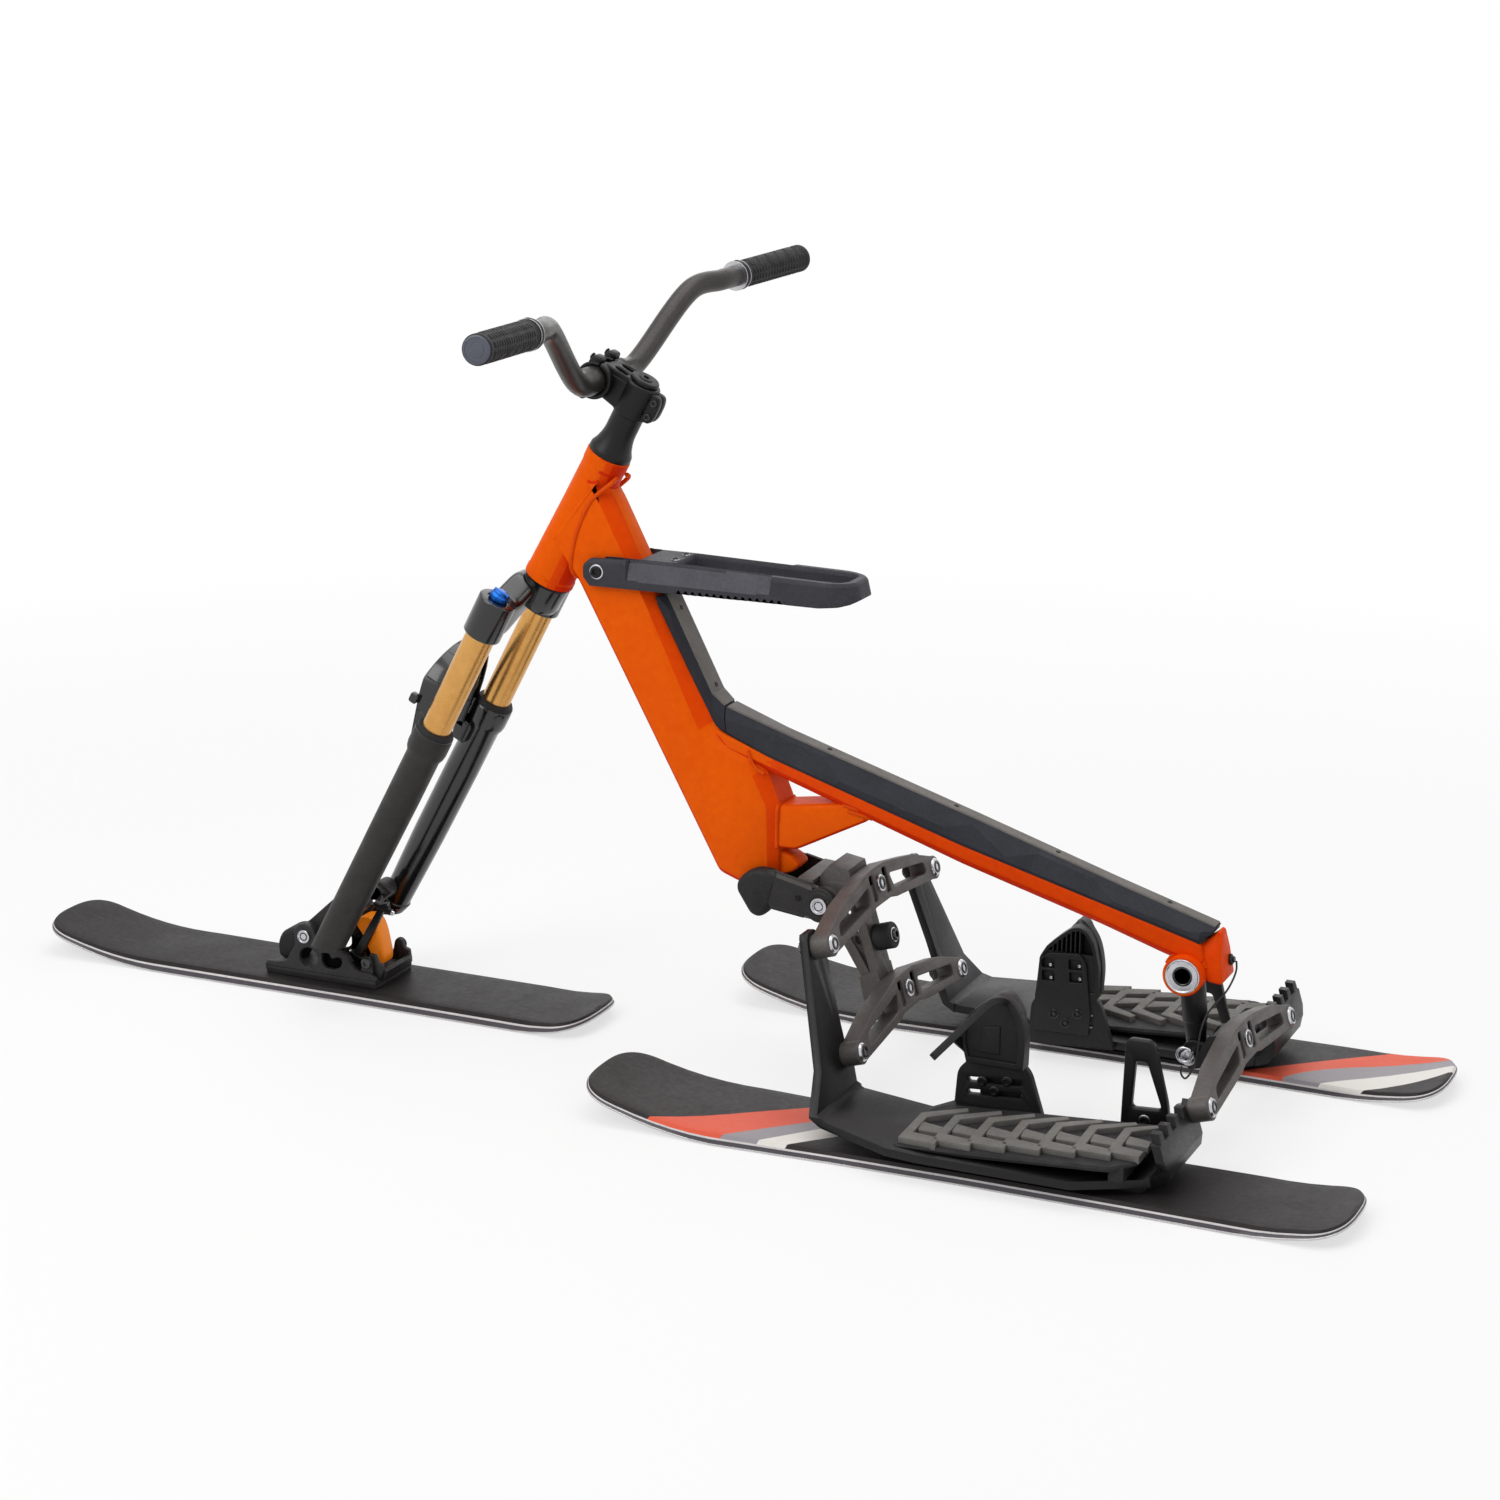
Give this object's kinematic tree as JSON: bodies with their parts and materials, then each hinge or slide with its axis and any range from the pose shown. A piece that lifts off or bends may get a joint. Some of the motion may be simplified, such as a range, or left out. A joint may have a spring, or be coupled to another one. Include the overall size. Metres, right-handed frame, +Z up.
{
  "type": "ski bike",
  "caption": "Snow bike frame with handlebar and sprung fork on a steered front ski, and paired rear skis with boot platforms on leaning rockers.",
  "frame": {"origin": "on the snow under the middle of the overall length and width", "axes": "+X toward the rear, +Y toward the rider's right, +Z up"},
  "size_m": [1.69, 0.7994, 0.8645],
  "materials": {
    "frame_paint": "gloss",
    "cover_plastic": "satin",
    "black_metal": "satin",
    "gold_tube": "polished",
    "steel": "satin",
    "black_rubber": "matte",
    "tread_rubber": "matte",
    "knob_metal": "satin",
    "spring_rubber": "satin",
    "ski_plastic": "satin",
    "support_plastic": "satin",
    "cord": "matte"
  },
  "bodies": {
    "frame": {"main_frame": "frame_paint", "downtube_cover": "cover_plastic", "beam_cover": "cover_plastic", "carry_handle": "black_metal", "handle_bolt": "steel", "yoke": "black_metal", "yoke_bumper": "black_rubber", "yoke_axle": "steel", "strut_axle": "steel", "lanyard_bolt": "steel", "lanyard": "cord", "headset_lower": "black_metal", "headset_upper": "black_metal"},
    "steering": {"fork_crown": "black_metal", "stanchion_left": "gold_tube", "stanchion_right": "gold_tube", "stem": "black_metal", "stem_faceplate": "black_metal", "stem_top_cap": "black_metal", "handlebar": "black_metal", "grip_left": "black_rubber", "grip_right": "black_rubber", "grip_collar_left": "black_metal", "grip_collar_right": "black_metal"},
    "knob": {"fork_knob": "knob_metal"},
    "fork": {"fork_lowers": "black_metal", "fork_adapter": "black_metal", "elastomer_link": "black_metal"},
    "front_ski": {"front_ski": "ski_plastic", "front_ski_mount": "black_metal", "front_pivot_bolt": "steel", "front_bumper": "black_rubber", "front_elastomer": "spring_rubber"},
    "rear_base": {"hanger": "black_metal", "stop_bolt": "black_rubber", "rear_hub": "black_metal", "upper_rocker_pin": "steel", "lower_rocker_pin": "steel", "rear_rocker_pin": "steel"},
    "upper_rocker": {"upper_rocker": "black_metal"},
    "lower_rocker": {"lower_rocker": "black_metal"},
    "rear_rocker": {"rear_rocker": "black_metal"},
    "left_ski": {"left_rear_ski": "ski_plastic", "left_platform": "black_metal", "left_tread": "tread_rubber", "left_boot_support": "support_plastic", "left_strap_loop": "support_plastic", "left_upper_bolt": "steel", "left_lower_bolt": "steel", "left_rear_bolt": "steel"},
    "right_ski": {"right_rear_ski": "ski_plastic", "right_platform": "black_metal", "right_tread": "tread_rubber", "right_boot_support": "support_plastic", "right_strap_loop": "support_plastic", "right_upper_bolt": "steel", "right_lower_bolt": "steel", "right_rear_bolt": "steel"},
    "strut": {"strut": "black_metal"},
    "release_pin": {"release_pin": "steel"}
  },
  "joints": [
    {"name": "steering_turn", "type": "hinge", "parent": "frame", "child": "steering", "pos_m": [-0.1643, 0, 0.526], "axis": [0.4617, 0, 0.887], "range_deg": [-50, 50]},
    {"name": "fork_knob_turn", "type": "hinge", "parent": "steering", "child": "knob", "pos_m": [-0.1895, -0.071, 0.51657], "axis": [0.4617, 0, 0.887], "range_deg": [0, 270]},
    {"name": "fork_slide", "type": "slide", "parent": "steering", "child": "fork", "axis": [0.4617, 0, 0.887], "range_m": [0, 0.09], "stiffness_N_per_m": 4000, "springref_m": -0.06},
    {"name": "front_ski_pitch", "type": "hinge", "parent": "fork", "child": "front_ski", "pos_m": [-0.475, 0, 0.069], "axis": [0, 1, 0], "range_deg": [-8, 8], "stiffness_Nm_per_rad": 120, "deforming": ["front_elastomer"]},
    {"name": "rear_base_fold", "type": "hinge", "parent": "frame", "child": "rear_base", "pos_m": [0.1884, 0, 0.1995], "axis": [0, 1, 0], "range_deg": [0, 60]},
    {"name": "upper_rocker_tilt", "type": "hinge", "parent": "rear_base", "child": "upper_rocker", "pos_m": [0.23327, 0, 0.21811], "axis": [0.9563, 0, 0.2924], "range_deg": [-20, 20]},
    {"name": "lower_rocker_tilt", "type": "hinge", "parent": "rear_base", "child": "lower_rocker", "pos_m": [0.269, 0, 0.10125], "axis": [0.9563, 0, 0.2924], "range_deg": [-20, 20]},
    {"name": "rear_rocker_tilt", "type": "hinge", "parent": "rear_base", "child": "rear_rocker", "pos_m": [0.65552, 0, 0.10251], "axis": [0.9563, 0, 0.2924], "range_deg": [-20, 20]},
    {"name": "left_ski_hinge", "type": "hinge", "parent": "upper_rocker", "child": "left_ski", "pos_m": [0.24044, -0.1497, 0.19468], "axis": [0.9563, 0, 0.2924], "range_deg": [-20, 20]},
    {"name": "right_ski_hinge", "type": "hinge", "parent": "upper_rocker", "child": "right_ski", "pos_m": [0.24044, 0.1497, 0.19468], "axis": [0.9563, 0, 0.2924], "range_deg": [-20, 20]},
    {"name": "strut_swing", "type": "hinge", "parent": "frame", "child": "strut", "pos_m": [0.602, 0, 0.177], "axis": [0, 1, 0], "range_deg": [0, 40]},
    {"name": "release_pin_pull", "type": "slide", "parent": "strut", "child": "release_pin", "axis": [0, -1, 0], "range_m": [0, 0.045]}
  ],
  "couplings": [
    {"joint": "lower_rocker_tilt", "follows": "upper_rocker_tilt", "ratio": 1},
    {"joint": "rear_rocker_tilt", "follows": "upper_rocker_tilt", "ratio": 1},
    {"joint": "left_ski_hinge", "follows": "upper_rocker_tilt", "ratio": -1},
    {"joint": "right_ski_hinge", "follows": "upper_rocker_tilt", "ratio": -1}
  ]
}
